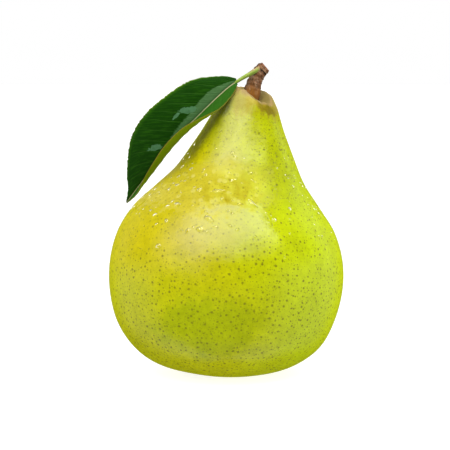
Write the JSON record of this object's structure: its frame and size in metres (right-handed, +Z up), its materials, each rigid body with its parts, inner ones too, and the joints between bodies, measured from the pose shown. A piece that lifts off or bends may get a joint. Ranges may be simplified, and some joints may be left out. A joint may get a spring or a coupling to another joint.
{
  "type": "pear",
  "caption": "Ripe pear with a woody stem and a folded leaf, resting upright on a small flat spot at its base.",
  "frame": {"origin": "centre of the overall box at floor level, under the middle of the belly; the floor is z = 0", "axes": "+Z up from the resting spot, +X towards the side the neck and stem lean to, -X towards the leaf's side, -Y towards the side the leaf folds to"},
  "size_m": [0.0751, 0.075, 0.0989],
  "materials": {
    "pear_body": "waxy green-yellow skin with small brown-green dots and tan russet round the stem",
    "stem": "rough brown bark with rings and a cut end",
    "leaf": "satin dark green above, dull yellow-green below, pale midrib",
    "calyx": "dry dark brown sepals"
  },
  "bodies": {
    "root": {"pear_body": "pear_body", "stem": "stem", "leaf": "leaf", "calyx": "calyx"}
  },
  "joints": []
}
